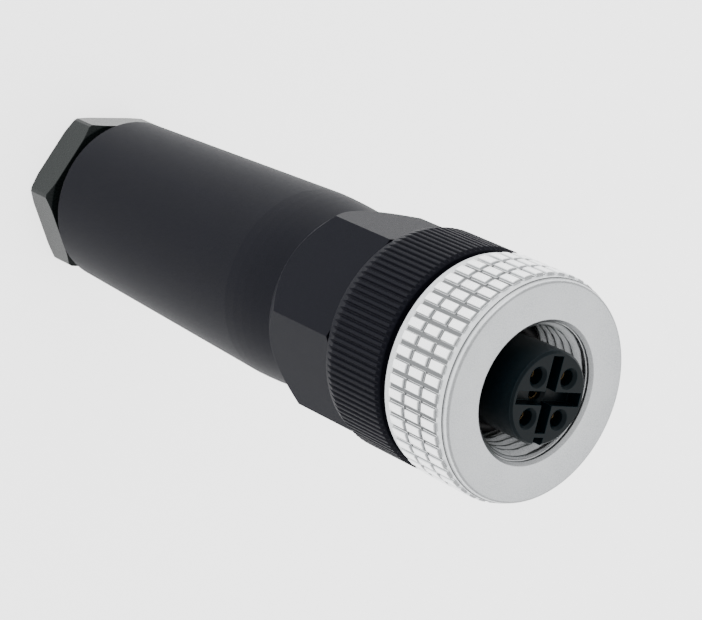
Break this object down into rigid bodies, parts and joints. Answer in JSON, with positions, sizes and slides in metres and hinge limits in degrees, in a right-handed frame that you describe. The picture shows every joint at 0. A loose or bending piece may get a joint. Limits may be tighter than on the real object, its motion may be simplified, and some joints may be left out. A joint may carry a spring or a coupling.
{
  "type": "m12 connector",
  "caption": "Straight M12 cable socket with a knurled metal coupling nut, ribbed grip, tapered plastic shell with a hexagon, and a hexagonal cable gland nut.",
  "frame": {"origin": "centre of the gland nut's flat cable-side end", "axes": "+Z along the common axis towards the mating face, -Y towards the insert's keyway"},
  "size_m": [0.02, 0.02, 0.0652],
  "materials": {
    "body_plastic": "fine matte moulded polyamide, bluish charcoal",
    "gland_plastic": "smooth moulded polyamide, dark greenish grey",
    "insert_plastic": "smooth moulded plastic, near black with a teal cast",
    "seal_rubber": "smooth black rubber",
    "contact_metal": "gold-plated turned brass",
    "screw_steel": "zinc-plated steel",
    "nut_metal": "nickel-plated, bright satin silver"
  },
  "bodies": {
    "shell_body": {"shell": "body_plastic", "seal_grommet": "seal_rubber"},
    "cage_body": {"clamp_cage": "body_plastic"},
    "gland_body": {"gland_nut": "gland_plastic"},
    "ring_body": {"housing_oring": "seal_rubber"},
    "front_body": {"grip_sleeve": "body_plastic", "contact_insert": "insert_plastic", "mating_oring": "seal_rubber", "contact_1": "contact_metal", "contact_2": "contact_metal", "contact_3": "contact_metal", "contact_4": "contact_metal", "contact_5": "contact_metal", "terminal_screw_1": "screw_steel", "terminal_screw_2": "screw_steel", "terminal_screw_3": "screw_steel", "terminal_screw_4": "screw_steel", "terminal_screw_5": "screw_steel"},
    "nut_body": {"coupling_nut": "nut_metal"}
  },
  "joints": [
    {"name": "gland_travel", "type": "slide", "parent": "shell_body", "child": "cage_body", "axis": [0, 0, -1], "range_m": [0, 0.00381]},
    {"name": "gland_turn", "type": "hinge", "parent": "cage_body", "child": "gland_body", "pos_m": [0, 0, 0], "axis": [0, 0, -1], "range_deg": [0, 1080.2]},
    {"name": "front_travel", "type": "slide", "parent": "shell_body", "child": "ring_body", "axis": [0, 0, 1], "range_m": [0, 0.009]},
    {"name": "front_turn", "type": "hinge", "parent": "ring_body", "child": "front_body", "pos_m": [0, 0, 0], "axis": [0, 0, 1], "range_deg": [0, 3240.2]},
    {"name": "coupling_spin", "type": "hinge", "parent": "front_body", "child": "nut_body", "pos_m": [0, 0, 0.0566], "axis": [0, 0, 1], "continuous": true}
  ],
  "couplings": [
    {"joint": "gland_turn", "follows": "gland_travel", "rad_per_m": 4947.4},
    {"joint": "front_turn", "follows": "front_travel", "rad_per_m": 6283.2}
  ]
}
